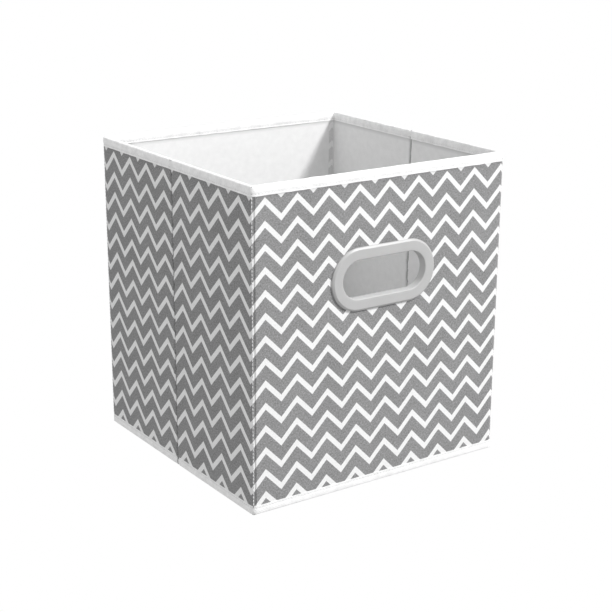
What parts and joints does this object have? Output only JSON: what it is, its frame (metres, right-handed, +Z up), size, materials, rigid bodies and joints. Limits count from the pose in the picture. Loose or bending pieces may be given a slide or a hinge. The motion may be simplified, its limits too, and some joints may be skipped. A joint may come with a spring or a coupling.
{
  "type": "fabric storage bin",
  "caption": "Foldable square fabric storage bin with stiffened zigzag-print walls, tape-bound rim, hand-slot handles front and back, creased sides and a loose base board.",
  "frame": {"origin": "centre of the footprint, on the floor", "axes": "+Z up, the front wall faces -Y, the left wall faces -X"},
  "size_m": [0.268, 0.266, 0.285],
  "materials": {
    "printed_canvas": "grey canvas with white zigzag stripes, matte",
    "stiffener_board": "raw grey-brown board",
    "white_lining": "white non-woven cloth, matte",
    "white_tape": "white non-woven binding tape with an embossed grain",
    "grey_plastic": "light warm grey, satin",
    "base_cover": "white non-woven cloth, matte",
    "base_board": "raw grey-brown board"
  },
  "bodies": {
    "front_wall": {"front_outer_canvas": "printed_canvas", "front_stiffener_board": "stiffener_board", "front_lining": "white_lining", "front_rim_tape": "white_tape", "front_foot_tape": "white_tape", "front_handle_outer_ring": "grey_plastic", "front_handle_inner_ring": "grey_plastic", "bottom_canvas_panel": "printed_canvas"},
    "left_front_half": {"left_front_outer_canvas": "printed_canvas", "left_front_stiffener_board": "stiffener_board", "left_front_lining": "white_lining", "left_front_rim_tape": "white_tape", "left_front_foot_tape": "white_tape"},
    "left_rear_half": {"left_rear_outer_canvas": "printed_canvas", "left_rear_stiffener_board": "stiffener_board", "left_rear_lining": "white_lining", "left_rear_rim_tape": "white_tape", "left_rear_foot_tape": "white_tape"},
    "back_wall": {"back_outer_canvas": "printed_canvas", "back_stiffener_board": "stiffener_board", "back_lining": "white_lining", "back_rim_tape": "white_tape", "back_foot_tape": "white_tape", "back_handle_outer_ring": "grey_plastic", "back_handle_inner_ring": "grey_plastic", "back_seam_strip": "printed_canvas"},
    "right_front_half": {"right_front_outer_canvas": "printed_canvas", "right_front_stiffener_board": "stiffener_board", "right_front_lining": "white_lining", "right_front_rim_tape": "white_tape", "right_front_foot_tape": "white_tape"},
    "right_rear_half": {"right_rear_outer_canvas": "printed_canvas", "right_rear_stiffener_board": "stiffener_board", "right_rear_lining": "white_lining", "right_rear_rim_tape": "white_tape", "right_rear_foot_tape": "white_tape"},
    "base_insert": {"base_insert_board": "base_board", "base_insert_cover": "base_cover"}
  },
  "joints": [
    {"name": "wall_fold", "type": "hinge", "parent": "front_wall", "child": "left_front_half", "pos_m": [-0.13, -0.1265, 0.14], "axis": [0, 0, -1], "range_deg": [0, 87], "deforming": ["left_front_foot_tape", "bottom_canvas_panel"]},
    {"name": "left_crease", "type": "hinge", "parent": "left_front_half", "child": "left_rear_half", "pos_m": [-0.134, 0, 0.14], "axis": [0, 0, 1], "range_deg": [0, 174], "deforming": ["left_rear_foot_tape"]},
    {"name": "back_left_corner", "type": "hinge", "parent": "left_rear_half", "child": "back_wall", "pos_m": [-0.13, 0.1265, 0.14], "axis": [0, 0, -1], "range_deg": [0, 87], "deforming": ["back_foot_tape"]},
    {"name": "front_right_corner", "type": "hinge", "parent": "front_wall", "child": "right_front_half", "pos_m": [0.13, -0.1265, 0.14], "axis": [0, 0, 1], "range_deg": [0, 87], "deforming": ["right_front_foot_tape"]},
    {"name": "right_crease", "type": "hinge", "parent": "right_front_half", "child": "right_rear_half", "pos_m": [0.134, 0, 0.14], "axis": [0, 0, -1], "range_deg": [0, 174], "deforming": ["right_rear_foot_tape"]},
    {"name": "base_lift", "type": "slide", "parent": "front_wall", "child": "base_insert", "axis": [0, 0, 1], "range_m": [0, 0.3]}
  ],
  "couplings": [
    {"joint": "left_crease", "follows": "wall_fold", "ratio": 2},
    {"joint": "back_left_corner", "follows": "wall_fold", "ratio": 1},
    {"joint": "front_right_corner", "follows": "wall_fold", "ratio": 1},
    {"joint": "right_crease", "follows": "wall_fold", "ratio": 2}
  ]
}
